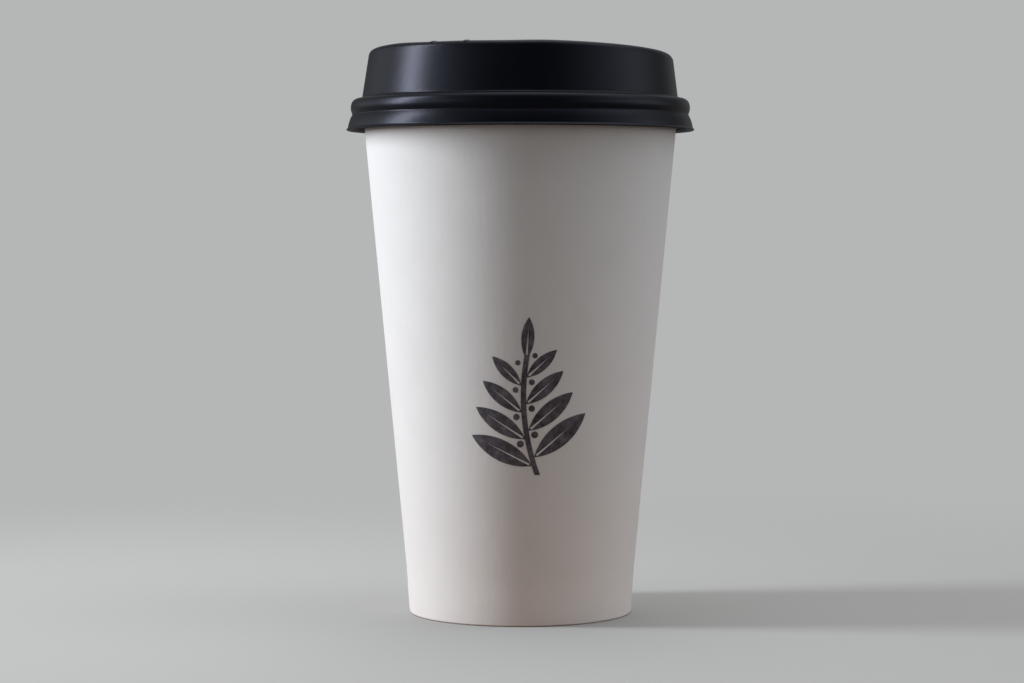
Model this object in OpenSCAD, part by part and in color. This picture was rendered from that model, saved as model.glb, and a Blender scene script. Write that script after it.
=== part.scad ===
// A tall single-wall paper cup for hot drinks, with a press-fitted travel lid.
// Millimetres. +Z is up and -Y is the printed front. The origin is on the cup's axis,
// on the surface that the cup stands on.

/* [Cup wall] */
// Height from the standing surface to the top of the rolled rim
cup_h = 137.7; // [115:0.1:165]
// Radius of the wall's outer cone, carried down to the standing surface
foot_r = 29.64; // [27:0.01:34]
// Lean of the wall from upright, in degrees
wall_taper = 5.37; // [4:0.01:6.5]
// Thickness of the paper board
board_t = 0.4; // [0.3:0.05:0.5]
// Diameter of the rolled rim
curl_d = 2.6; // [2.2:0.1:3.2]
// How far round the rim is rolled, in degrees
curl_turn = 286; // [240:2:290]
// How far the folded layers push the heel outwards
heel_bulge = 0.3; // [0.1:0.05:0.6]
// Height over which the heel's bulge fades out
heel_h = 14; // [10:1:20]
// Width of the lap where the rolled sheet's edges are sealed
seam_w = 8; // [5:0.5:11]
// How far the pressed lap stands out of the wall
seam_step = 0.2; // [0.1:0.05:0.3]

/* [Cup base] */
// Height of the base disc's upper face above the standing surface
base_lift = 9.5; // [9:0.5:16]
// Height of the wall's folded-in bottom edge
hem_h = 6.5; // [4:0.5:7]
// Thickness of the base's paper board
base_t = 0.35; // [0.25:0.05:0.45]
// Radius inside the corner where the base turns down into its skirt
base_round = 0.6; // [0.4:0.1:1]
// Sealed gap between layers of board
glue_gap = 0.02; // [0.01:0.01:0.04]

/* [Lid skirt] */
// Thickness of the lid's formed sheet
lid_t = 0.4; // [0.3:0.05:0.45]
// Clearance from the rolled rim up to the underside of the lid's shelf
seat_gap = 0.25; // [0.2:0.05:0.5]
// Clearance from the rolled rim out to the gripping notch
notch_gap = 0.15; // [0.1:0.05:0.25]
// Clearance from the rolled rim out to the fullest part of the bead
bead_gap = 0.53; // [0.45:0.01:0.7]
// Radius of the bend from the shelf down to the bead's face
bead_round = 1.9; // [1.7:0.1:2.2]
// Radius of the bead's outer face, which bulges past the rolled rim
bead_face = 3.5; // [3:0.1:3.8]
// Height from the notch up to the shelf
notch_drop = 4.2; // [4:0.1:4.6]
// Radius of the notch's hollow
notch_round = 0.5; // [0.4:0.1:0.7]
// Height from the lid's lower edge up to the shelf
skirt_h = 8.27; // [7.8:0.01:10]
// Radius of the skirt's outward curve
skirt_round = 9.5; // [8:0.5:12]
// Width of the lip that flares out at the lower edge
lip_w = 0.48; // [0.3:0.02:0.8]
// Height of the flared lip
lip_h = 0.7; // [0.5:0.05:1]

/* [Lid crown] */
// How far the crown's foot stands inside the rolled rim's outer edge
crown_inset = 2.2; // [2:0.1:4]
// Height of the crown's top over the shelf, on the axis
crown_h = 12.35; // [10.5:0.05:15]
// Lean of the crown's wall from upright, in degrees
crown_taper = 8; // [5:0.5:12]
// Slant of the crown's top, in degrees, highest at the drinking side
crown_slant = 1.9; // [0:0.1:3]
// Direction of the drinking side, in degrees to the left of the front
sip_turn = 28; // [0:1:90]
// Radius of the crown's outer top edge
crown_round = 1.8; // [1:0.1:3]
// Width of the ledge at the drinking side
sip_ledge = 11.5; // [10.5:0.5:14]
// Width of the ledge at the far side
back_ledge = 4.4; // [4:0.2:8]
// Depth of the recess below the ledge
recess_depth = 7.5; // [5:0.1:8]
// Lean of the recess wall from upright, in degrees
recess_taper = 12; // [8:1:20]
// Radius of the recess's upper edge
recess_lip = 1.1; // [0.8:0.1:1.5]
// Radius inside the recess's lower corner
recess_foot = 1.4; // [1:0.1:2]
// Length of the sip hole
sip_l = 15; // [10:0.5:18]
// Width of the sip hole
sip_w = 6; // [4.5:0.1:6.2]
// Width of the two pips at the outer edge of the drinking side's ledge
pip_w = 2.1; // [1.4:0.1:2.2]
// Height of a pip over the ledge
pip_h = 0.25; // [0.2:0.05:0.4]
// Angle from the middle of the drinking side to each pip, in degrees
pip_turn = 7.1; // [5:0.1:12]
// Diameter of the air vent
vent_d = 2; // [1.2:0.1:3]
// Distance of the air vent from the recess wall
vent_inset = 7; // [5:0.5:12]

/* [Print] */
// Thickness of the printed ink
ink_t = 0.05; // [0.03:0.01:0.1]
// Height of the printed sprig's middle above the standing surface
print_z = 60.5; // [50:0.5:80]
// Height of the sprig from its stem's foot to its top leaf's tip
sprig_h = 41; // [34:0.5:46]
// Radius of the stem's bend
stem_bend = 60; // [45:1:120]
// Greatest width of the stem
stem_w = 1.4; // [1:0.1:2]
// Length of the lowest leaves
leaf_l = 17.5; // [12:0.5:19]
// Width of a leaf as a share of its length
leaf_share = 0.31; // [0.25:0.01:0.36]
// Lean of the lowest leaves from upright, in degrees
leaf_spread = 56; // [45:1:62]
// Number of pairs of leaves
leaf_pairs = 4; // [2:1:5]
// Diameter of a berry
berry_d = 1.8; // [1.4:0.1:2]

/* [Hidden] */
$fn = 96;
past = 1;

paper_colour = [0.93, 0.92, 0.91];
lid_colour = [0.06, 0.065, 0.08];
ink_colour = [0.17, 0.15, 0.165];

// Steps in a quarter of a small round, and in the heel's curve
round_steps = 8;
heel_steps = 7;

// The fold's outside radius leaves the board a small radius inside it
fold_r = board_t + 0.06;
fold_w = 2 * board_t + base_t + 2 * glue_gap;

curl_r = curl_d / 2;
curl_mid_z = cup_h - curl_r;
curl_in_r = curl_r - board_t;
curl_foot_z = curl_mid_z + curl_in_r * sin(wall_taper);
curl_mid_r = wall_r(curl_foot_z) + curl_in_r * cos(wall_taper);
rim_r = curl_mid_r + curl_r;

shelf_z = cup_h + seat_gap + lid_t;
skirt_z = shelf_z - skirt_h;
notch_r = rim_r + notch_gap + lid_t;
notch_z = shelf_z - notch_drop;
// Angle at which the bead's bend runs into its face, in degrees
bead_turn = 20;
face_in = (bead_face - bead_round) * [cos(bead_turn), sin(bead_turn)];
face_mid = [rim_r + bead_gap + lid_t - bead_face, shelf_z - bead_round - face_in.y];
bead_mid = face_mid + face_in;
// Leans of the sheet just above and just below the notch, in degrees
bead_lean = 20;
skirt_lean = 29;
crown_foot_r = rim_r - crown_inset;
// Width and height of the bevel between the shelf and the crown
foot_bevel = 0.6;

crown_top_r = crown_foot_r - crown_h * tan(crown_taper);
recess_r = crown_top_r - (sip_ledge + back_ledge) / 2;
recess_shift = (sip_ledge - back_ledge) / 2;
recess_floor = crown_h - recess_depth;
recess_floor_r = recess_r - recess_depth * tan(recess_taper);
sip_r = crown_top_r - (sip_ledge + crown_round - recess_lip) / 2;
pip_r = crown_top_r - crown_round;
// Each buried end of the crown's form reaches this far below the shelf
crown_root = 4;

// Points of an arc round a middle, from one angle to another
function arc(middle, r, from, to, steps) =
    [for (i = [0 : steps]) let (a = from + (to - from) * i / steps)
        middle + r * [cos(a), sin(a)]];

// Unit vector to the right of a step from a to b
function right_of(a, b) = [b.y - a.y, a.x - b.x] / norm(b - a);

// A path moved to its right by d, with each bend mitred
function beside(path, d) =
    [for (i = [0 : len(path) - 1])
        let (a = right_of(path[max(i - 1, 0)], path[max(i, 1)]),
             b = right_of(path[min(i, len(path) - 2)], path[min(i + 1, len(path) - 1)]))
        path[i] + d * (a + b) / (1 + a * b)];

function reversed(path) = [for (i = [len(path) - 1 : -1 : 0]) path[i]];

// Outer radius of the wall at height z: a cone, with the heel pushed out by the hem
function wall_r(z) = foot_r + z * tan(wall_taper) + heel_bulge * heel_fade(z);
function heel_fade(z) = z < heel_h ? (1 + cos(180 * z / heel_h)) / 2 : 0;

// Heights at which the wall's section has a point, between two heights
function wall_heights(from, to) = concat(
    [from],
    [for (i = [1 : heel_steps])
        let (z = heel_h * i / heel_steps)
        if (z > from + 0.5 && z < to - 0.5) z],
    [to]);

// The wall's outer face between two heights, moved inwards by d
function wall_path(from, to, d) =
    [for (z = wall_heights(from, to)) [wall_r(z) - d / cos(wall_taper), z]];

// One side of the sheet, from the hem's top edge down its inner face, round the fold,
// up the wall's outer face and round the inside of the rolled rim
function sheet_path() = concat(
    reversed(wall_path(fold_r, hem_h, fold_w)),
    arc([wall_r(fold_r) - fold_w + fold_r, fold_r], fold_r, 187.5, 270, round_steps - 2),
    arc([wall_r(fold_r) - fold_r, fold_r], fold_r, 270, 352.5, round_steps - 2),
    wall_path(fold_r, curl_foot_z, 0),
    arc([curl_mid_r, curl_mid_z], curl_in_r,
        180 - wall_taper - 5, 180 - wall_taper - curl_turn, 4 * round_steps));

// The lap: the sheet's outer ply stands out of the wall along the back
module side_seam() {
    z_low = fold_r + 0.3;
    z_high = curl_mid_z - curl_r - 0.3;
    intersection() {
        rotate_extrude()
            polygon(concat(wall_path(z_low, z_high, -seam_step),
                           reversed(wall_path(z_low, z_high, board_t / 2))));
        translate([-seam_w / 2, 0, 0])
            cube([seam_w, 2 * rim_r, cup_h]);
    }
}

// One sheet: folded in at the foot, rolled outwards at the rim
module cup_wall() {
    color(paper_colour)
        union() {
            rotate_extrude()
                polygon(concat(sheet_path(), reversed(beside(sheet_path(), -board_t))));
            side_seam();
        }
}

// Upper face of the base disc and outer face of its skirt, from the axis outwards
function base_path() = let (
        skirt_in = board_t + glue_gap,
        corner_r = base_round + base_t,
        corner_mid = [wall_r(base_lift - corner_r) - skirt_in / cos(wall_taper) - corner_r,
                      base_lift - corner_r])
    concat(
        [[0, base_lift]],
        arc(corner_mid, corner_r, 90, 0, round_steps),
        reversed(wall_path(board_t + 2 * glue_gap, base_lift - corner_r - 0.1, skirt_in)));

// The base disc, set up inside the wall, with its skirt held in the fold
module cup_base() {
    color(paper_colour)
        rotate_extrude()
            polygon(concat(base_path(), reversed(beside(base_path(), base_t))));
}

// Upper face of the lid's skirt, from its lower edge up to the crown's foot
function skirt_path() = let (
        notch_mid = [notch_r + notch_round, notch_z],
        skirt_top = notch_mid - notch_round * [cos(skirt_lean), sin(skirt_lean)],
        skirt_mid = skirt_top - skirt_round * [cos(skirt_lean), sin(skirt_lean)],
        low_z = skirt_z + lip_h,
        low_lean = asin((low_z - skirt_mid.y) / skirt_round),
        low_r = skirt_mid.x + skirt_round * cos(low_lean),
        bevel_r = min(crown_foot_r + foot_bevel, bead_mid.x - 0.05))
    concat(
        [[low_r + lip_w, skirt_z]],
        arc(skirt_mid, skirt_round, low_lean, skirt_lean, round_steps),
        arc(notch_mid, notch_round, 180 + skirt_lean - 8, 180 - bead_lean, 6),
        arc(face_mid, bead_face, -bead_lean + 2, bead_turn - 4, 4),
        arc(bead_mid, bead_round, bead_turn, 90, round_steps + 2),
        [[bevel_r, shelf_z],
         [crown_foot_r + foot_bevel / 3, shelf_z + foot_bevel / 2],
         [crown_foot_r - foot_bevel, shelf_z + 2 * foot_bevel]]);

// Solid under the skirt and shelf, its skin moved inwards by d
module skirt_form(d) {
    skin = beside(skirt_path(), -d);
    low_z = skirt_z - (d > 0 ? past : 0);
    rotate_extrude()
        polygon(concat([[0, low_z]], d > 0 ? [[skin[0].x, low_z]] : [], skin,
                       [[0, skin[len(skin) - 1].y]]));
}

// Puts children on the crown's slanted frame: -Y is its high drinking side
module on_slant() {
    translate([0, 0, shelf_z])
        rotate([0, 0, -sip_turn])
            rotate([-crown_slant, 0, 0])
                children();
}

// Solid crown, its skin moved inwards by d
module crown_form(d) {
    low = -crown_root - d;
    foot = crown_foot_r + crown_root * tan(crown_taper) - d / cos(crown_taper);
    edge = crown_round - d;
    top = crown_h - d;
    edge_r = crown_foot_r - d / cos(crown_taper) - (top - edge) * tan(crown_taper)
        - edge / cos(crown_taper);
    rotate_extrude()
        polygon(concat(
            [[0, low], [foot + d * tan(crown_taper), low]],
            arc([edge_r, top - edge], edge, crown_taper, 90, round_steps),
            [[0, top]]));
}

// The air above the recess, its skin moved outwards by d
module recess_form(d) {
    lip = recess_lip - d;
    foot = recess_foot + d;
    top = crown_h - d;
    floor_z = recess_floor - d;
    wall_in = d / cos(recess_taper);
    lip_r = recess_r + wall_in - d * tan(recess_taper) - lip * tan(recess_taper)
        + lip / cos(recess_taper);
    foot_r_mid = recess_floor_r + wall_in - d * tan(recess_taper) + foot * tan(recess_taper)
        - foot / cos(recess_taper);
    lip_arc = arc([lip_r, top - lip], lip, 180 - recess_taper, 95, round_steps);
    last = lip_arc[round_steps];
    rotate_extrude()
        polygon(concat(
            [[0, floor_z]],
            arc([foot_r_mid, floor_z + foot], foot, 270, 360 - recess_taper, round_steps),
            lip_arc,
            [last + [1, 0.1], [last.x + 1, crown_h + 3 * past], [0, crown_h + 3 * past]]));
}

// Balls whose tops stand out of the ledge as pips, moved inwards by d
module pip_forms(d) {
    ball_r = (pip_w * pip_w / 4 + pip_h * pip_h) / (2 * pip_h);
    for (side = [-1, 1])
        rotate(side * pip_turn)
            translate([0, -pip_r, crown_h + pip_h - ball_r])
                sphere(ball_r - d, $fn = 32);
}

// Solid bounded by the lid's skin, moved inwards by d
module lid_form(d) {
    difference() {
        union() {
            skirt_form(d);
            on_slant() crown_form(d);
            on_slant() pip_forms(d);
        }
        on_slant() translate([0, recess_shift, 0]) recess_form(d);
    }
}

// Slot with round ends, cut through the ledge at the drinking side
module sip_hole() {
    reach = (sip_l - sip_w) / 2;
    translate([0, -sip_r, crown_h - 3 * past])
        linear_extrude(5 * past)
            union() {
                translate([-reach, -sip_w / 2])
                    square([2 * reach, sip_w]);
                translate([-reach, 0])
                    circle(d = sip_w);
                translate([reach, 0])
                    circle(d = sip_w);
            }
}

// Small hole in the recess floor, opposite the sip hole
module vent_hole() {
    translate([0, recess_shift + recess_floor_r - vent_inset, recess_floor - past])
        cylinder(h = 2 * past, d = vent_d);
}

// One formed sheet: skirt, gripping bead, shelf, slanted crown, pips, recess and holes
module lid() {
    color(lid_colour)
        difference() {
            lid_form(0);
            lid_form(lid_t);
            on_slant() sip_hole();
            on_slant() vent_hole();
        }
}

// A pointed leaf along +Y with its midrib left bare
module leaf(length) {
    width = length * leaf_share;
    side_r = (length * length + width * width) / (4 * width);
    difference() {
        translate([0, length / 2])
            intersection() {
                translate([side_r - width / 2, 0])
                    circle(side_r);
                translate([width / 2 - side_r, 0])
                    circle(side_r);
            }
        polygon([[-0.28, 0.8], [0.28, 0.8], [0, 0.8 * length]]);
    }
}

// Stem: a slim bent stroke from one height to another
module stem(low, high) {
    intersection() {
        difference() {
            translate([stem_bend, 0])
                circle(stem_bend);
            translate([stem_bend + stem_w, 0])
                circle(stem_bend);
        }
        translate([-stem_bend / 2, low])
            square([stem_bend, high - low]);
    }
}

// Places children on the stem at a height, turned partly along it
module on_stem(height) {
    lean = asin(height / stem_bend);
    translate([stem_bend + stem_w / 2 - stem_bend * cos(lean), height])
        rotate(-lean * 0.4)
            children();
}

// A generic leaf sprig with berries, drawn flat
module sprig() {
    top_l = leaf_l * 0.62;
    low = -sprig_h / 2;
    high = sprig_h / 2 - top_l * 0.9;
    spacing = (high - low) / (leaf_pairs + 0.5);
    stem(low, high);
    for (i = [0 : leaf_pairs - 1], side = [-1, 1]) {
        grown = 1 - 0.13 * i;
        at = low + spacing * (i + 0.5 + 0.15 * side);
        on_stem(at)
            translate([side * stem_w * 0.4, 0])
                rotate(-side * leaf_spread * (1 - 0.06 * i))
                    leaf(leaf_l * grown);
        on_stem(at + spacing * 0.84)
            translate([side * (stem_w / 2 + berry_d * 0.75), 0])
                circle(d = berry_d * (1 - 0.08 * i));
    }
    on_stem(high - top_l * 0.1)
        leaf(top_l);
}

// The film of ink on the wall's face
module print() {
    z_low = print_z - sprig_h;
    z_high = print_z + sprig_h;
    color(ink_colour)
        intersection() {
            rotate_extrude()
                polygon(concat(wall_path(z_low, z_high, -glue_gap - ink_t),
                               reversed(wall_path(z_low, z_high, -glue_gap))));
            translate([0, 0, print_z])
                rotate([90, 0, 0])
                    linear_extrude(2 * rim_r)
                        sprig();
        }
}

cup_wall();
cup_base();
lid();
print();
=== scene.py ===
"""Looks for a tall paper cup with a black travel lid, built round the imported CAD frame.

The frame gives the solids, bodies and joint. This script makes the finely shaped pieces
that stand for them, their materials, the light and the camera. Lengths of the cup, lid and
floor are millimetres, and meshes are made in metres. Light and camera are in metres.
"""
import math

import bpy
import numpy as np
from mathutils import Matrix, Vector


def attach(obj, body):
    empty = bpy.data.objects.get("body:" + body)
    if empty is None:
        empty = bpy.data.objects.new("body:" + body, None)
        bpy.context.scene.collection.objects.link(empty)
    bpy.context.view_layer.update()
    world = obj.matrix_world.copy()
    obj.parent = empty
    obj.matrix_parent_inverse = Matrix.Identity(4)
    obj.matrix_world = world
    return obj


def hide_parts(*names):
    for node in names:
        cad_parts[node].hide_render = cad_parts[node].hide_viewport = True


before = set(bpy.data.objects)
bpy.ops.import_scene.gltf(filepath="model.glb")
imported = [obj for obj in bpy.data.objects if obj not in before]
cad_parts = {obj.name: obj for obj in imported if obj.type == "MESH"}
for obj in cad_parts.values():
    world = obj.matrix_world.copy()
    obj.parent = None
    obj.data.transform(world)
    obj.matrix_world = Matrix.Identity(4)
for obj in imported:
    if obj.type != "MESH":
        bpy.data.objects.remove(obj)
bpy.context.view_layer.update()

MM = 0.001
PER_METRE = 1000

# Cup wall, as the frame's solids have it
CUP_H = 137.7
FOOT_R = 29.64
WALL_TAPER = math.radians(5.37)
BOARD_T = 0.4
CURL_D = 2.6
CURL_TURN = 286.0
HEEL_BULGE = 0.3
HEEL_H = 14.0
FOLD_IN_R = 0.06
BASE_LIFT = 9.5
BASE_T = 0.35
BASE_ROUND = 0.6
BASE_FIRST_R = 0.5
HEM_H = 6.5
GLUE_GAP = 0.02

# Lap at the back: its width, step and edge, and where the outer ply's height fades out,
# measured from the lap's middle. It starts above the folded foot
SEAM_W = 8.0
SEAM_STEP = 0.2
SEAM_EDGE = 0.03
SEAM_FADE_START = 0.5
SEAM_FADE_W = 9.0
FOLD_TOP = 0.5
SEAM_RISE = 0.6
# Place round a ring that stands for anywhere away from the lap
AWAY = 99.0

# Ribs pressed into the hem's inner face
RIB_COUNT = 72
RIB_H = 0.05
RIB_START = 0.7
RIB_END = HEM_H - 0.3

# Lid skirt
LID_T = 0.4
SEAT_GAP = 0.25
NOTCH_GAP = 0.15
BEAD_GAP = 0.53
BEAD_ROUND = 1.9
BEAD_FACE = 3.5
BEAD_TURN = 20.0
NOTCH_DROP = 4.2
NOTCH_ROUND = 0.5
SKIRT_H = 8.27
SKIRT_ROUND = 9.5
LIP_W = 0.48
LIP_H = 0.7
LIP_BEND = 0.25
LIP_EASE = 0.02
BEAD_LEAN = 20.0
SKIRT_LEAN = 29.0

# Lid crown
CROWN_INSET = 2.2
CROWN_H = 12.35
CROWN_TAPER = math.radians(8.0)
CROWN_SLANT = math.radians(1.9)
SIP_TURN = math.radians(28.0)
CROWN_ROUND = 1.8
CROWN_ROUND_FRONT = 1.6
CROWN_ROUND_BACK = 2.6
CROWN_ROUND_EASE = 1.5
FOOT_FILLET = 0.8
FILLET_REACH = 0.87
SIP_LEDGE = 11.5
BACK_LEDGE = 4.4
RECESS_DEPTH = 7.5
RECESS_TAPER = math.radians(12.0)
RECESS_LIP = 1.1
RECESS_FOOT = 1.4
# Rings of the recess floor, as shares of its radius
RECESS_RINGS = (0.85, 0.6, 0.35, 0.1)
SIP_L = 15.0
SIP_W = 6.0
SIP_CUT_DOWN = 3
SIP_CUT_UP = 2
PIP_W = 2.1
PIP_H = 0.25
PIP_SUNK = 0.25
PIP_TURN = 7.1
# Dish of the drinking side's ledge: its depth, and the angles of its middle, reach and fade
DISH_DEPTH = 0.33
DISH_TURN = 6
DISH_REACH = 34
DISH_FADE = 22
VENT_D = 2.0
VENT_INSET = 7.0
VENT_CUT = 1

# Segments round the lid, the cup, a pip and the floor
LID_SEGMENTS = 288
CUP_SEGMENTS = 264
PIP_SEGMENTS = 32
FLOOR_SEGMENTS = 96

# Angles in degrees over which an edge is kept crisp
CRISP = 32
CUP_CRISP = 35
LID_CRISP = 40

# Tones of the paper, its bare edge at the lap darkened as painted shade of the lap's step,
# the lid's sheet and the ink. A ramp has pairs of a place and a colour
PAPER_TONES = [(0.3, (0.815, 0.812, 0.805)), (0.7, (0.845, 0.842, 0.835))]
# Bare board at the lap's edge, darkened beyond its own tone as painted shade of the lap's step
RAW_EDGE_AND_SHADE = (0.50, 0.455, 0.40)
RAW_EDGE_AND_SHADE_SHARE = 0.6
UNCOATED_ROUGHNESS = 0.62
COATED_ROUGHNESS = 0.36
LID_TONES = [(0.3, (0.0020, 0.0024, 0.0038)), (0.7, (0.0030, 0.0034, 0.0056))]
LID_GLOSS_TINT = (0.86, 0.90, 1.20)
INK_TONES = [(0.34, (0.050, 0.045, 0.054)), (0.52, (0.108, 0.098, 0.116)),
             (0.70, (0.19, 0.175, 0.195))]

# Floor: its rings, its drop under the foot, and its tone as the camera sees it
FLOOR_RINGS = (1.0, 150.0, 400.0, 1000.0, 6000.0)
FLOOR_DROP = 0.05
FLOOR_SEEN = (0.42, 0.415, 0.405)
# Tone of the light that it bounces, over the distance from the cup's axis in metres
FLOOR_BOUNCE = [(0.06, (0.245, 0.136, 0.076)), (0.20, (0.088, 0.075, 0.065))]
# Distances in metres between which it fades into the background
FADE_START = 0.10
FADE_END = 0.36
BACKGROUND = (0.463, 0.467, 0.470)
# Share of the pale floor and background that mirroring rays find
MIRRORED = 0.2

# Softbox on the left: metres, watts and degrees
COOL, EVEN = (0.95, 0.985, 1.035), (0.99, 1.0, 1.005)
KEY_W = 0.15
KEY_H = 0.54
KEY_POWER = 5.8
KEY_AZIMUTH = -87
KEY_ELEVATION = 20
KEY_DISTANCE = 0.75
KEY_AIM = (0, 0, 0.13)

# Soft light of the room: azimuth, elevation, sharpness, strength and tint of each lobe
LOBES = (
    (-120, 3, 20, 1.15, COOL),
    (-90, 48, 14, 0.4, COOL),
    (-60, 3, 20, 2.4, COOL),
    (60, 3, 20, 1.3, EVEN),
    (90, 3, 20, 2.3, COOL),
    (90, 48, 14, 1.7, COOL),
    (150, 3, 20, 0.2, EVEN),
    (180, 48, 14, 0.9, EVEN),
    (180, 68, 14, 1.0, EVEN),
    (0, 90, 12, 2.1, EVEN),
)

# Camera: the photo's width and focal length in its pixels, the sensor in millimetres, the
# eye's place in metres and its tilt down in degrees
PHOTO_W = 1024
FOCAL_LENGTH = 2654.3
SENSOR_W = 36.0
NEAREST = 0.01
EYE = (-0.00224, -0.7170, 0.10483)
EYE_TILT = 2.537


def wall_r(z):
    """Outer radius of the cup's wall at height z."""
    z = np.asarray(z, float)
    fade = np.where(z < HEEL_H, (1 + np.cos(np.pi * z / HEEL_H)) / 2, 0.0)
    return FOOT_R + z * math.tan(WALL_TAPER) + HEEL_BULGE * fade


CURL_R = CURL_D / 2
CURL_IN_R = CURL_R - BOARD_T
CURL_MID_Z = CUP_H - CURL_R
CURL_FOOT_Z = CURL_MID_Z + CURL_IN_R * math.sin(WALL_TAPER)
CURL_MID_R = float(wall_r(CURL_FOOT_Z)) + CURL_IN_R * math.cos(WALL_TAPER)
RIM_R = CURL_MID_R + CURL_R
SHELF_Z = CUP_H + SEAT_GAP + LID_T
SKIRT_Z = SHELF_Z - SKIRT_H
CROWN_FOOT_R = RIM_R - CROWN_INSET
CROWN_TOP_R = CROWN_FOOT_R - CROWN_H * math.tan(CROWN_TAPER)
RECESS_R = CROWN_TOP_R - (SIP_LEDGE + BACK_LEDGE) / 2
RECESS_SHIFT = (SIP_LEDGE - BACK_LEDGE) / 2
RECESS_FLOOR = CROWN_H - RECESS_DEPTH
RECESS_FLOOR_R = RECESS_R - RECESS_DEPTH * math.tan(RECESS_TAPER)
SIP_R = CROWN_TOP_R - (SIP_LEDGE + CROWN_ROUND - RECESS_LIP) / 2
PIP_R = CROWN_TOP_R - CROWN_ROUND


def smooth(x):
    """A share from 0 to 1, eased at both ends."""
    return x * x * (3 - 2 * x)


def even_angles(count):
    """Angles spread evenly round a full turn."""
    return np.linspace(0, 2 * np.pi, count, endpoint=False)


def level_ring(r, angles, z):
    """Points of a level ring."""
    return np.stack([r * np.cos(angles), r * np.sin(angles), np.full_like(angles, z)], 1)


def arc(middle, r, start, end, steps):
    """Points of an arc round a middle, from one angle to another, in degrees."""
    a = np.radians(np.linspace(start, end, steps + 1))
    return np.stack([middle[0] + r * np.cos(a), middle[1] + r * np.sin(a)], 1)


def line(a, b, steps):
    """Points from a to b, both ends kept."""
    t = np.linspace(0, 1, steps + 1)[:, None]
    return np.asarray(a, float) * (1 - t) + np.asarray(b, float) * t


def curve(start, bend, end, t):
    """The point at t of a quadratic curve that leaves and arrives towards its bend."""
    return start * (1 - t) ** 2 + 2 * bend * t * (1 - t) + end * t ** 2


def beside(path, d):
    """A path moved to its right by d, with each bend mitred."""
    step = np.diff(path, axis=0)
    normal = np.stack([step[:, 1], -step[:, 0]], 1) / np.linalg.norm(step, axis=1)[:, None]
    a = np.vstack([normal[:1], normal])
    b = np.vstack([normal, normal[-1:]])
    return path + d * (a + b) / (1 + (a * b).sum(1))[:, None]


def joined(*parts):
    """Paths put end to end, without points that repeat."""
    path = np.vstack(parts)
    keep = np.r_[True, np.linalg.norm(np.diff(path, axis=0), axis=1) > 1e-3]
    return path[keep]


def mesh_piece(name, points, faces, crisp=CRISP):
    """A mesh object from points in millimetres, smooth apart from its sharp edges."""
    mesh = bpy.data.meshes.new(name)
    mesh.from_pydata((np.asarray(points) * MM).tolist(), [], faces)
    mesh.validate()
    mesh.update()
    piece = bpy.data.objects.new(name, mesh)
    bpy.context.scene.collection.objects.link(piece)
    shade(piece, crisp)
    return piece


def shade(piece, crisp):
    """Smooth shading, with edges sharper than an angle kept crisp."""
    mesh = piece.data
    mesh.shade_smooth()
    mesh.set_sharp_from_angle(angle=math.radians(crisp))


def ring_faces(rings, columns, closed_loop):
    """Quads between rings of points, with the last ring joined to the first if asked."""
    faces = []
    for i in range(rings if closed_loop else rings - 1):
        a, b = i * columns, (i + 1) % rings * columns
        for j in range(columns):
            k = (j + 1) % columns
            faces.append((a + j, a + k, b + k, b + j))
    return faces


def capped_skin(name, rings, crisp=CRISP):
    """A closed piece from rings: a fan round the middle of the first and last closes it."""
    rings = np.asarray(rings)
    count, columns = rings.shape[:2]
    points = rings.reshape(-1, 3)
    first, last = len(points), len(points) + 1
    points = np.vstack([points, rings[0].mean(0), rings[-1].mean(0)])
    faces = ring_faces(count, columns, False)
    end = (count - 1) * columns
    for j in range(columns):
        k = (j + 1) % columns
        faces.append((k, j, first))
        faces.append((end + j, end + k, last))
    return mesh_piece(name, points, faces, crisp)


def skirt_path():
    """Upper face of the lid's skirt, from its lower edge up to the end of the bead."""
    notch_mid = np.array([RIM_R + NOTCH_GAP + LID_T + NOTCH_ROUND, SHELF_Z - NOTCH_DROP])
    lean = math.radians(SKIRT_LEAN)
    out = np.array([math.cos(lean), math.sin(lean)])
    skirt_mid = notch_mid - (NOTCH_ROUND + SKIRT_ROUND) * out
    low_z = SKIRT_Z + LIP_H
    low_lean = math.degrees(math.asin((low_z - skirt_mid[1]) / SKIRT_ROUND))
    low_r = skirt_mid[0] + SKIRT_ROUND * math.cos(math.radians(low_lean))
    turn = math.radians(BEAD_TURN)
    face_in = (BEAD_FACE - BEAD_ROUND) * np.array([math.cos(turn), math.sin(turn)])
    face_mid = np.array([RIM_R + BEAD_GAP + LID_T - BEAD_FACE, SHELF_Z - BEAD_ROUND - face_in[1]])
    tip = np.array([low_r + LIP_W, SKIRT_Z + LIP_EASE])
    bend = np.array([low_r + LIP_EASE, low_z - LIP_BEND])
    top = np.array([low_r, low_z])
    # The bead's face stops a few degrees short, where the notch and the bead's round go on
    return joined(
        curve(tip, bend, top, np.linspace(0, 1, 8)[:, None]),
        arc(skirt_mid, SKIRT_ROUND, low_lean, SKIRT_LEAN, 14),
        arc(notch_mid, NOTCH_ROUND, 180 + SKIRT_LEAN, 180 - BEAD_LEAN, 8),
        arc(face_mid, BEAD_FACE, 1 - BEAD_LEAN, BEAD_TURN - 3, 9),
        arc(face_mid + face_in, BEAD_ROUND, BEAD_TURN, 90, 20))


def slant_frame():
    """Rotation of the crown's slanted frame: its -Y is the high drinking side."""
    c, s = math.cos(-SIP_TURN), math.sin(-SIP_TURN)
    turn = np.array([[c, -s, 0], [s, c, 0], [0, 0, 1]])
    c, s = math.cos(-CROWN_SLANT), math.sin(-CROWN_SLANT)
    tilt = np.array([[1, 0, 0], [0, c, -s], [0, s, c]])
    return turn @ tilt


SLANT = slant_frame()


def on_slant(points):
    """Points of the crown's slanted frame, in the cup's own frame."""
    return np.asarray(points) @ SLANT.T + np.array([0, 0, SHELF_Z])


def crown_edge_round(turned):
    """Radius of the crown's top edge, larger away from the drinking side."""
    away = (1 + np.sin(turned)) / 2
    return CROWN_ROUND_FRONT + (CROWN_ROUND_BACK - CROWN_ROUND_FRONT) * away ** CROWN_ROUND_EASE


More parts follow.
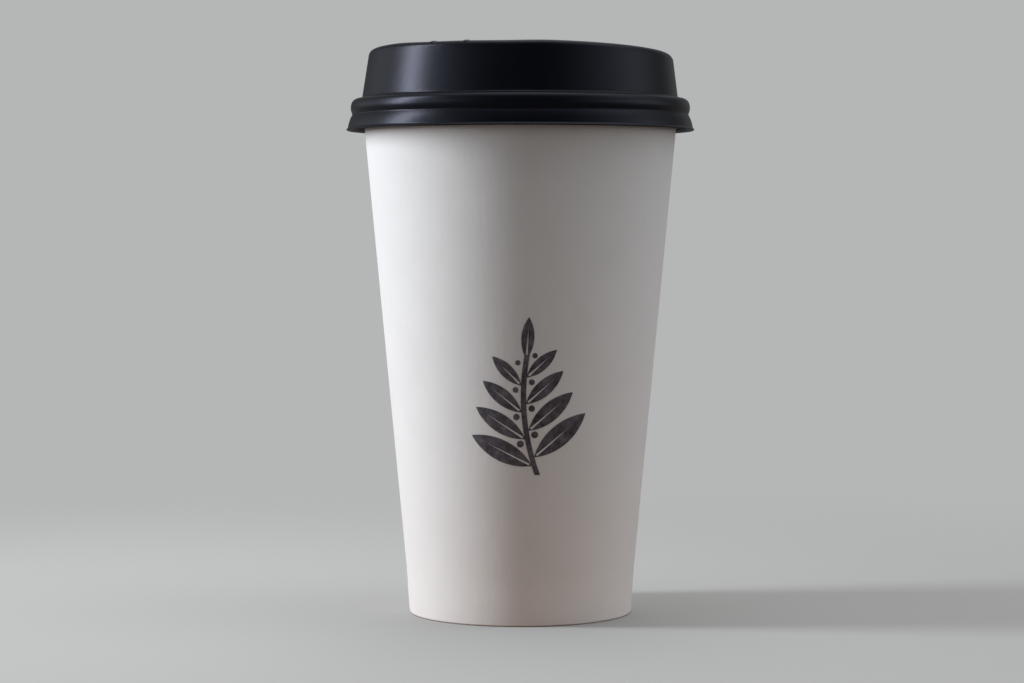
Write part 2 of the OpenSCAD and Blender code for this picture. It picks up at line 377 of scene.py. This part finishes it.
def lid_skin(d):
    """Rings of one face of the lid's sheet, moved inwards by d, from the lower edge in."""
    around = even_angles(LID_SEGMENTS)
    turned = around + SIP_TURN
    cos_t, sin_t = np.cos(turned), np.sin(turned)

    def local(radius, height, shift=0.0):
        height = np.broadcast_to(height, around.shape)
        return on_slant(np.stack([radius * cos_t, shift + radius * sin_t, height], 1))

    # Skirt and bead
    rings = [level_ring(r, around, z) for r, z in beside(skirt_path(), -d)]

    # Fillet between the level shelf and the crown's slanted wall
    slope = math.tan(CROWN_TAPER)
    foot = CROWN_FOOT_R - d / math.cos(CROWN_TAPER)
    rise = SLANT[2, 0] * cos_t + SLANT[2, 1] * sin_t
    foot_h = (-d - foot * rise) / (SLANT[2, 2] - slope * rise)
    corner = local(foot - foot_h * slope, foot_h)
    reach = FILLET_REACH * (FOOT_FILLET + d)
    on_shelf = corner + reach * level_ring(1.0, around, 0.0)
    on_wall = local(foot - (foot_h + reach) * slope, foot_h + reach)
    rings += [curve(on_shelf, corner, on_wall, t) for t in np.linspace(0, 1, 8)]

    # Crown's wall and top edge
    edge = crown_edge_round(turned) - d
    top = CROWN_H - d
    edge_r = foot - (top - edge) * slope - edge / math.cos(CROWN_TAPER)
    wall_top = local(edge_r + edge * math.cos(CROWN_TAPER),
                     top - edge + edge * math.sin(CROWN_TAPER))
    for t in np.linspace(0, 1, 9)[1:-1]:
        rings.append(on_wall * (1 - t) + wall_top * t)
    for a in np.linspace(CROWN_TAPER, np.pi / 2, 12):
        rings.append(local(edge_r + edge * math.cos(a), top - edge + edge * math.sin(a)))

    # Ledge, and the recess with its lip, wall, foot and floor
    lip = RECESS_LIP - d
    lean = math.tan(RECESS_TAPER)
    back = d / math.cos(RECESS_TAPER) - d * lean
    lip_r = RECESS_R + back - lip * lean + lip / math.cos(RECESS_TAPER)
    ledge_out = local(edge_r, top)
    ledge_in = local(lip_r, top, RECESS_SHIFT)
    for t in np.linspace(0, 1, 9)[1:-1]:
        rings.append(ledge_out * (1 - t) + ledge_in * t)
    for a in np.linspace(np.pi / 2, np.pi - RECESS_TAPER, 10):
        rings.append(local(lip_r + lip * math.cos(a), top - lip + lip * math.sin(a),
                           RECESS_SHIFT))
    bend = RECESS_FOOT + d
    floor = RECESS_FLOOR - d
    bend_r = RECESS_FLOOR_R + back + bend * lean - bend / math.cos(RECESS_TAPER)
    for a in np.linspace(2 * np.pi - RECESS_TAPER, 1.5 * np.pi, 9):
        rings.append(local(bend_r + bend * math.cos(a), floor + bend + bend * math.sin(a),
                           RECESS_SHIFT))
    rings += [local(bend_r * share, floor, RECESS_SHIFT) for share in RECESS_RINGS]
    return rings


def rounded_edge(outer, inner, steps=4):
    """Rings of a half-round edge between two skins' first rings, kept above the skirt's foot."""
    middle = (outer + inner) / 2
    half = (outer - inner) / 2
    down = np.array([0, 0, -np.linalg.norm(half[0])])
    rings = []
    for a in np.linspace(0, np.pi, steps + 2)[1:-1]:
        ring = middle + half * math.cos(a) + down * math.sin(a)
        ring[:, 2] = np.maximum(ring[:, 2], SKIRT_Z)
        rings.append(ring)
    return rings


def cutter(name, outline, low, high, shift):
    """A straight cutter in the crown's slanted frame, from an outline round a shifted point."""
    outline = np.asarray(outline) + np.asarray(shift)
    n = len(outline)
    points = [on_slant(np.c_[outline, np.full(n, h)]) for h in (low, high)]
    faces = [tuple(range(n - 1, -1, -1)), tuple(range(n, 2 * n))]
    faces += [(j, (j + 1) % n, n + (j + 1) % n, n + j) for j in range(n)]
    return mesh_piece(name, np.vstack(points), faces)


def slot_outline(length, width, steps=24):
    """Outline of a slot with round ends."""
    reach = (length - width) / 2
    right = arc((reach, 0), width / 2, -90, 90, steps)
    left = arc((-reach, 0), width / 2, 90, 270, steps)
    return np.vstack([right, left])


def combine(piece, tool, operation):
    """Cuts a closed tool out of a piece or joins it on, and removes the tool."""
    modifier = piece.modifiers.new("combine", "BOOLEAN")
    modifier.operation = operation
    modifier.solver = "EXACT"
    modifier.object = tool
    bpy.context.view_layer.objects.active = piece
    bpy.ops.object.modifier_apply(modifier=modifier.name)
    bpy.data.objects.remove(tool)


def pip(side):
    """A low dome on the ledge's outer edge, sunk a little into the sheet."""
    ball_r = (PIP_W ** 2 / 4 + PIP_H ** 2) / (2 * PIP_H)
    around = even_angles(PIP_SEGMENTS)
    deepest = math.acos((ball_r - PIP_H - PIP_SUNK) / ball_r)
    turned = math.radians(side * PIP_TURN)
    middle = np.array([PIP_R * math.sin(turned), -PIP_R * math.cos(turned),
                       CROWN_H + PIP_H - ball_r])
    rings = []
    for a in np.linspace(0.06, deepest, 9):
        ring = level_ring(1.0, around, 1 / math.tan(a))
        rings.append(on_slant(middle + ball_r * math.sin(a) * ring))
    return capped_skin("pip", rings)


def dish_drinking_side(piece):
    """Lowers the crown's top a little at the drinking side, fading down its walls."""
    mesh = piece.data
    points = np.empty(3 * len(mesh.vertices))
    mesh.vertices.foreach_get("co", points)
    local = (points.reshape(-1, 3) * PER_METRE - (0, 0, SHELF_Z)) @ SLANT
    turned = np.degrees(np.arctan2(local[:, 0], -local[:, 1]))
    near = np.clip((DISH_REACH - np.abs(turned - DISH_TURN)) / DISH_FADE, 0, 1)
    high = np.clip(2 * local[:, 2] / CROWN_H - 1, 0, 1)
    local[:, 2] -= DISH_DEPTH * smooth(near) * smooth(high)
    mesh.vertices.foreach_set("co", on_slant(local).ravel() / PER_METRE)


def make_lid():
    """The lid: one formed sheet with its bead, slanted crown, recess and holes."""
    upper, under = lid_skin(0.0), lid_skin(LID_T)
    edge = rounded_edge(upper[0], under[0])
    lid = capped_skin("travel_lid", upper[::-1] + edge + under, LID_CRISP)
    sip = cutter("sip_cutter", slot_outline(SIP_L, SIP_W), CROWN_H - SIP_CUT_DOWN,
                 CROWN_H + SIP_CUT_UP, (0, -SIP_R))
    combine(lid, sip, "DIFFERENCE")
    # The round vent is a slot a hair longer than wide, so that no two of its points meet
    vent_y = RECESS_SHIFT + RECESS_FLOOR_R - VENT_INSET
    vent = cutter("vent_cutter", slot_outline(VENT_D + 1e-3, VENT_D), RECESS_FLOOR - VENT_CUT,
                  RECESS_FLOOR + VENT_CUT, (0, vent_y))
    combine(lid, vent, "DIFFERENCE")
    for side in (-1, 1):
        combine(lid, pip(side), "UNION")
    dish_drinking_side(lid)
    shade(lid, LID_CRISP)
    return lid


def sheet_path():
    """One side of the cup's sheet, from the hem's top edge round the fold and up to the rim."""
    fold_r = BOARD_T + FOLD_IN_R
    fold_w = 2 * BOARD_T + BASE_T + 2 * GLUE_GAP
    hem_z = np.linspace(HEM_H, fold_r, 9)
    wall_z = np.r_[np.linspace(fold_r, HEEL_H, 15), np.linspace(HEEL_H, CURL_FOOT_Z, 12)[1:]]
    base_r = float(wall_r(fold_r))
    lean = math.degrees(WALL_TAPER)
    # The fold's arcs stop 7.5 degrees short of the hem and wall, and the curl's starts 5 before
    return joined(
        np.stack([wall_r(hem_z) - fold_w / math.cos(WALL_TAPER), hem_z], 1),
        arc((base_r - fold_w + fold_r, fold_r), fold_r, 187.5, 270, 7),
        arc((base_r - fold_r, fold_r), fold_r, 270, 352.5, 7),
        np.stack([wall_r(wall_z), wall_z], 1),
        arc((CURL_MID_R, CURL_MID_Z), CURL_IN_R, 175 - lean, 180 - lean - CURL_TURN, 40))


def seam_columns(r):
    """Angles of a ring's points: close together at the lap's two edges, even elsewhere."""
    half = SEAM_W / 2
    edge = half + np.array([-0.25, 0, SEAM_EDGE, 0.25])
    beyond = np.linspace(5.5, 10, 4)
    lap = np.r_[-beyond[::-1], -edge[::-1], np.linspace(-3.2, 3.2, 7), edge, beyond]
    angles = np.pi / 2 + lap / r
    rest = np.linspace(angles[-1], angles[0] + 2 * np.pi, CUP_SEGMENTS + 2)[1:-1]
    return np.r_[angles, rest], np.r_[lap, np.full(CUP_SEGMENTS, AWAY)]


def lap_out(along):
    """How far the outer ply stands out at a place along the ring: crisp edge, then a fade."""
    fade = 1 - smooth(np.clip((along - SEAM_FADE_START) / SEAM_FADE_W, 0, 1))
    return np.where((along >= -SEAM_W / 2) & (along < AWAY), SEAM_STEP * fade, 0.0)


def lap_in(along):
    """The same for the inner ply, on the inside of the wall, with its edge the other way."""
    return np.where(along < AWAY, lap_out(-along), 0.0)


def wall_ring(r, z, outside, rolled, hemmed):
    """One ring of the wall's sheet, with the lap's height or the hem's ribs in its radius."""
    angles, along = seam_columns(r)
    if not (rolled or hemmed) and z >= FOLD_TOP:
        lap = lap_out(along) if outside else -lap_in(along)
        r = r + lap * min(1.0, (z - FOLD_TOP) / SEAM_RISE)
    elif hemmed and outside and RIB_START < z < RIB_END:
        r = r + RIB_H * np.maximum(0, np.cos(RIB_COUNT * angles))
    return level_ring(r, angles, z)


def make_cup():
    """The cup's wall: one rolled sheet with a lap at the back, a rolled rim and a hem."""
    outer = sheet_path()
    inner = beside(outer, -BOARD_T)
    rolled = outer[:, 1] > CUP_H - CURL_D - BOARD_T
    hemmed = np.cumsum(outer[:, 1] < FOLD_TOP) == 0
    rings = [wall_ring(r, z, True, *flags) for (r, z), *flags in zip(outer, rolled, hemmed)]
    rings += [wall_ring(r, z, False, *flags)
              for (r, z), *flags in zip(inner[::-1], rolled[::-1], hemmed[::-1])]
    rings = np.asarray(rings)
    count, columns = rings.shape[:2]
    cup = mesh_piece("paper_cup", rings.reshape(-1, 3), ring_faces(count, columns, True),
                     CUP_CRISP)
    # The outer ply ends on the lap's one side, and the inner ply on its other
    along = seam_columns(FOOT_R)[1]
    edge = np.abs(np.abs(along) - (SEAM_W + SEAM_EDGE) / 2) < SEAM_EDGE
    sides = len(outer)
    # Where a ply ends the paper gets a darker line: bare board tone plus painted shade of the
    # lap's step
    coated, cut_and_shade = np.zeros((2, count, columns))
    coated[sides:] = 1
    cut_and_shade[:sides, edge & (along < 0)] = 1
    cut_and_shade[sides:, edge & (along > 0)] = 1
    for name, values in (("coated", coated), ("cut_edge_and_shade", cut_and_shade)):
        cup.data.attributes.new(name, "FLOAT", "POINT").data.foreach_set("value", values.ravel())
    return cup


def make_floor_disc():
    """The cup's base disc with its skirt turned down into the hem."""
    skirt_in = (BOARD_T + GLUE_GAP) / math.cos(WALL_TAPER)
    corner_r = BASE_ROUND + BASE_T
    corner_z = BASE_LIFT - corner_r
    corner = (float(wall_r(corner_z)) - skirt_in - corner_r, corner_z)
    z = np.linspace(corner_z - 0.1, BOARD_T + 2 * GLUE_GAP, 12)
    path = joined(
        line((BASE_FIRST_R, BASE_LIFT), (corner[0], BASE_LIFT), 12),
        arc(corner, corner_r, 90, 0, 12),
        np.stack([wall_r(z) - skirt_in, z], 1))
    under = beside(path, BASE_T)
    around = even_angles(CUP_SEGMENTS)
    rings = [level_ring(r, around, h) for r, h in np.vstack([path, under[::-1]])]
    return capped_skin("base_disc", rings[::-1], CUP_CRISP)


def connect(tree, socket, value):
    """Links another node's output into a socket, or sets the socket to a constant."""
    if isinstance(value, bpy.types.NodeSocket):
        tree.links.new(value, socket)
    else:
        socket.default_value = value


def feed(tree, node, **values):
    """Connects a node's inputs by name, with _ for a space."""
    for key, value in values.items():
        connect(tree, node.inputs[key.replace("_", " ")], value)


def add(tree, kind, **values):
    """A new node with its inputs connected by name."""
    node = tree.nodes.new(kind)
    feed(tree, node, **values)
    return node


def maths(tree, operation, *values, kind="ShaderNodeMath"):
    """The outputs of a maths node, with its inputs connected in order."""
    node = tree.nodes.new(kind)
    node.operation = operation
    for socket, value in zip(node.inputs, values):
        connect(tree, socket, value)
    return node.outputs


def vector_maths(tree, operation, *values):
    """The outputs of a vector maths node, with its inputs connected in order."""
    return maths(tree, operation, *values, kind="ShaderNodeVectorMath")


def blend(tree, share, first, second):
    """A colour between two, by a share. A colour mix has its inputs at 0, 6 and 7."""
    node = tree.nodes.new("ShaderNodeMix")
    node.data_type = "RGBA"
    for place, value in ((0, share), (6, first), (7, second)):
        connect(tree, node.inputs[place], value)
    return node.outputs[2]


def blend_shaders(tree, share, first, second):
    """A shader between two, by a share."""
    node = tree.nodes.new("ShaderNodeMixShader")
    for socket, value in zip(node.inputs, (share, first, second)):
        connect(tree, socket, value)
    return node.outputs[0]


def noise(tree, vector, scale, detail=3.0, roughness=0.55):
    """A noise texture over a vector."""
    node = add(tree, "ShaderNodeTexNoise", Vector=vector, Scale=scale, Detail=detail,
               Roughness=roughness)
    return node.outputs["Fac"]


def ramp(tree, value, stops):
    """Colours over a value, as (place, colour) pairs."""
    node = tree.nodes.new("ShaderNodeValToRGB")
    elements = node.color_ramp.elements
    while len(elements) < len(stops):
        elements.new(0.5)
    for element, (place, colour) in zip(elements, stops):
        element.position = place
        element.color = (*colour, 1)
    tree.links.new(value, node.inputs["Fac"])
    return node.outputs["Color"]


def bump(tree, height, distance, strength, below=None):
    """A bump over a height, stacked on another bump if given."""
    node = add(tree, "ShaderNodeBump", Height=height, Distance=distance, Strength=strength)
    if below is not None:
        feed(tree, node, Normal=below)
    return node.outputs["Normal"]


def spread(tree, value, low, high):
    """A value from 0 to 1, spread over low to high."""
    node = add(tree, "ShaderNodeMapRange", Value=value, To_Min=low, To_Max=high)
    return node.outputs[0]


def surface_value(tree, name, low, high):
    """A value that runs from low to high with the mesh's own 0 to 1 attribute."""
    attribute = tree.nodes.new("ShaderNodeAttribute")
    attribute.attribute_name = name
    return spread(tree, attribute.outputs["Fac"], low, high)


def object_place(tree):
    """The piece's own coordinates, in metres."""
    return tree.nodes.new("ShaderNodeTexCoord").outputs["Object"]


def around_axis(tree, place, along):
    """Coordinates that run round the cup's axis, with the height times a factor."""
    split = add(tree, "ShaderNodeSeparateXYZ", Vector=place).outputs
    flat = add(tree, "ShaderNodeCombineXYZ", X=split["X"], Y=split["Y"]).outputs[0]
    unit = vector_maths(tree, "NORMALIZE", flat)[0]
    high = vector_maths(tree, "MULTIPLY", place, (0, 0, along))[0]
    return vector_maths(tree, "ADD", unit, high)[0]


def new_material(name):
    """A node material, with its node tree and its surface shader."""
    material = bpy.data.materials.new(name)
    material.use_nodes = True
    tree = material.node_tree
    return material, tree, tree.nodes["Principled BSDF"]


def paper_material():
    """White paper board: clouding, grain and streaks, coated inside, with a darker line of bare
    board and painted shade where the lap's ply ends.
    """
    material, tree, shader = new_material("white_paper_board")
    place = object_place(tree)
    colour = ramp(tree, noise(tree, place, 90, 4), PAPER_TONES)
    # Painted shade of the lap's step, with the bare board's tone, where a ply ends
    raw_and_shade = surface_value(tree, "cut_edge_and_shade", 0.0, RAW_EDGE_AND_SHADE_SHARE)
    grain = noise(tree, place, 1400, 5, 0.65)
    streaks = noise(tree, around_axis(tree, place, 6.0), 26, 4, 0.6)
    normal = bump(tree, streaks, 0.00010, 0.5)
    feed(tree, shader,
         Base_Color=blend(tree, raw_and_shade, colour, (*RAW_EDGE_AND_SHADE, 1)),
         Normal=bump(tree, grain, 0.00003, 0.35, normal),
         Roughness=surface_value(tree, "coated", UNCOATED_ROUGHNESS, COATED_ROUGHNESS),
         Specular_IOR_Level=0.32)
    return material


def lid_material():
    """Satin black formed sheet with a fine texture and slight draw marks."""
    material, tree, shader = new_material("satin_black_sheet")
    place = object_place(tree)
    wear = noise(tree, place, 500, 4, 0.6)
    skin = noise(tree, place, 1800, 3, 0.5)
    drawn = noise(tree, around_axis(tree, place, 25.0), 18, 3, 0.5)
    normal = bump(tree, drawn, 0.00008, 0.25)
    feed(tree, shader,
         Base_Color=ramp(tree, noise(tree, place, 220, 3), LID_TONES),
         Normal=bump(tree, skin, 0.00001, 0.25, normal),
         Roughness=spread(tree, wear, 0.29, 0.36),
         Specular_IOR_Level=0.165,
         Specular_Tint=(*LID_GLOSS_TINT, 1))
    return material


def ink_material():
    """Charcoal ink, stamped a little unevenly."""
    material, tree, shader = new_material("stamped_ink")
    place = object_place(tree)
    grain = noise(tree, place, 1600, 4, 0.6)
    feed(tree, shader,
         Base_Color=ramp(tree, noise(tree, place, 420, 5, 0.65), INK_TONES),
         Normal=bump(tree, grain, 0.00003, 0.3),
         Roughness=0.75,
         Specular_IOR_Level=0.2)
    return material


PAPER = paper_material()
BLACK = lid_material()
INK = ink_material()


def dress(piece, material, body, slot, *nodes):
    """Gives a piece its material and body, and hides the CAD nodes that it stands for. The slot is
    not used.
    """
    piece.data.materials.clear()
    piece.data.materials.append(material)
    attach(piece, body)
    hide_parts(*nodes)


dress(make_cup(), PAPER, "cup", "paper_board", "cup_wall")
dress(make_floor_disc(), PAPER, "cup", "paper_board", "cup_base")
dress(make_lid(), BLACK, "lid", "lid_plastic", "lid")
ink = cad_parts["print"]
ink.data.materials.clear()
ink.data.materials.append(INK)


def pale_share(tree):
    """How pale a ray finds the surroundings: fully from the camera, partly by gloss or glass."""
    path = tree.nodes.new("ShaderNodeLightPath").outputs
    mirroring = maths(tree, "ADD", path["Is Glossy Ray"], path["Is Transmission Ray"])[0]
    return maths(tree, "MULTIPLY_ADD", mirroring, MIRRORED, path["Is Camera Ray"])[0]


def floor_material():
    """A pale matt floor that fades into the background. Its bounced light is darker."""
    material, tree, shader = new_material("pale_floor")
    place = tree.nodes.new("ShaderNodeNewGeometry").outputs["Position"]
    far = vector_maths(tree, "LENGTH", place)["Value"]
    seen = pale_share(tree)
    tone = blend(tree, seen, ramp(tree, far, FLOOR_BOUNCE), (*FLOOR_SEEN, 1))
    feed(tree, shader, Base_Color=tone, Roughness=0.9, Specular_IOR_Level=0.0)
    fade = add(tree, "ShaderNodeMapRange", Value=far, From_Min=FADE_START, From_Max=FADE_END)
    fade.interpolation_type = "SMOOTHSTEP"
    share = maths(tree, "MULTIPLY", fade.outputs[0], seen)[0]
    glow = add(tree, "ShaderNodeEmission", Color=(*BACKGROUND, 1), Strength=1.0)
    surface = blend_shaders(tree, share, shader.outputs[0], glow.outputs[0])
    feed(tree, tree.nodes["Material Output"], Surface=surface)
    return material


def make_stage():
    """A wide floor round the cup."""
    around = even_angles(FLOOR_SEGMENTS)
    rings = [level_ring(r, around, -FLOOR_DROP) for r in FLOOR_RINGS]
    points = np.vstack([*rings, [[0, 0, -FLOOR_DROP]]])
    faces = ring_faces(len(rings), FLOOR_SEGMENTS, False)
    faces += [((j + 1) % FLOOR_SEGMENTS, j, len(points) - 1) for j in range(FLOOR_SEGMENTS)]
    floor = mesh_piece("studio_floor", points, faces)
    floor.data.materials.append(floor_material())


def towards(azimuth, elevation):
    """A direction of length 1. The azimuth is from the front, left negative."""
    a, e = math.radians(azimuth), math.radians(elevation)
    return math.sin(a) * math.cos(e), -math.cos(a) * math.cos(e), math.sin(e)


def lobe(tree, direction, azimuth, elevation, sharpness, strength, tint):
    """Light that falls off softly round one direction."""
    near = vector_maths(tree, "DOT_PRODUCT", direction, towards(azimuth, elevation))["Value"]
    fall = maths(tree, "MULTIPLY_ADD", near, sharpness, -sharpness)[0]
    colour = tree.nodes.new("ShaderNodeVectorMath")
    colour.operation = "SCALE"
    feed(tree, colour, Vector=[strength * c for c in tint], Scale=maths(tree, "EXPONENT", fall)[0])
    return colour.outputs[0]


def make_world():
    """The room: soft lobes of light from all sides, and a plain background for the camera."""
    world = bpy.data.worlds.new("room")
    bpy.context.scene.world = world
    world.use_nodes = True
    tree = world.node_tree
    tree.nodes.clear()
    direction = tree.nodes.new("ShaderNodeTexCoord").outputs["Generated"]
    total, *rest = [lobe(tree, direction, *values) for values in LOBES]
    for light in rest:
        total = vector_maths(tree, "ADD", total, light)[0]
    room = add(tree, "ShaderNodeBackground", Color=total, Strength=1.0)
    shown = add(tree, "ShaderNodeBackground", Color=(*BACKGROUND, 1), Strength=1.0)
    surface = blend_shaders(tree, pale_share(tree), room.outputs[0], shown.outputs[0])
    add(tree, "ShaderNodeOutputWorld", Surface=surface)


def make_key():
    """A tall window-like softbox on the left, a little above the cup."""
    light = bpy.data.lights.new("key_left", "AREA")
    light.shape = "RECTANGLE"
    light.size, light.size_y = KEY_W, KEY_H
    light.energy = KEY_POWER
    light.color = COOL
    lamp = bpy.data.objects.new("key_left", light)
    bpy.context.scene.collection.objects.link(lamp)
    way = Vector(towards(KEY_AZIMUTH, KEY_ELEVATION))
    lamp.location = Vector(KEY_AIM) + way * KEY_DISTANCE
    lamp.rotation_euler = (-way).to_track_quat("-Z", "Y").to_euler()
    lamp.visible_camera = False


def make_camera():
    """The photograph's viewpoint: almost level with the rim, from straight in front."""
    camera = bpy.data.cameras.new("camera")
    camera.sensor_fit = "HORIZONTAL"
    camera.sensor_width = SENSOR_W
    camera.lens = FOCAL_LENGTH * SENSOR_W / PHOTO_W
    camera.clip_start = NEAREST
    eye = bpy.data.objects.new("camera", camera)
    bpy.context.scene.collection.objects.link(eye)
    eye.location = EYE
    eye.rotation_euler = (math.radians(90 - EYE_TILT), 0, 0)
    bpy.context.scene.camera = eye


make_stage()
make_world()
make_key()
make_camera()
bpy.context.scene.view_settings.view_transform = "Standard"
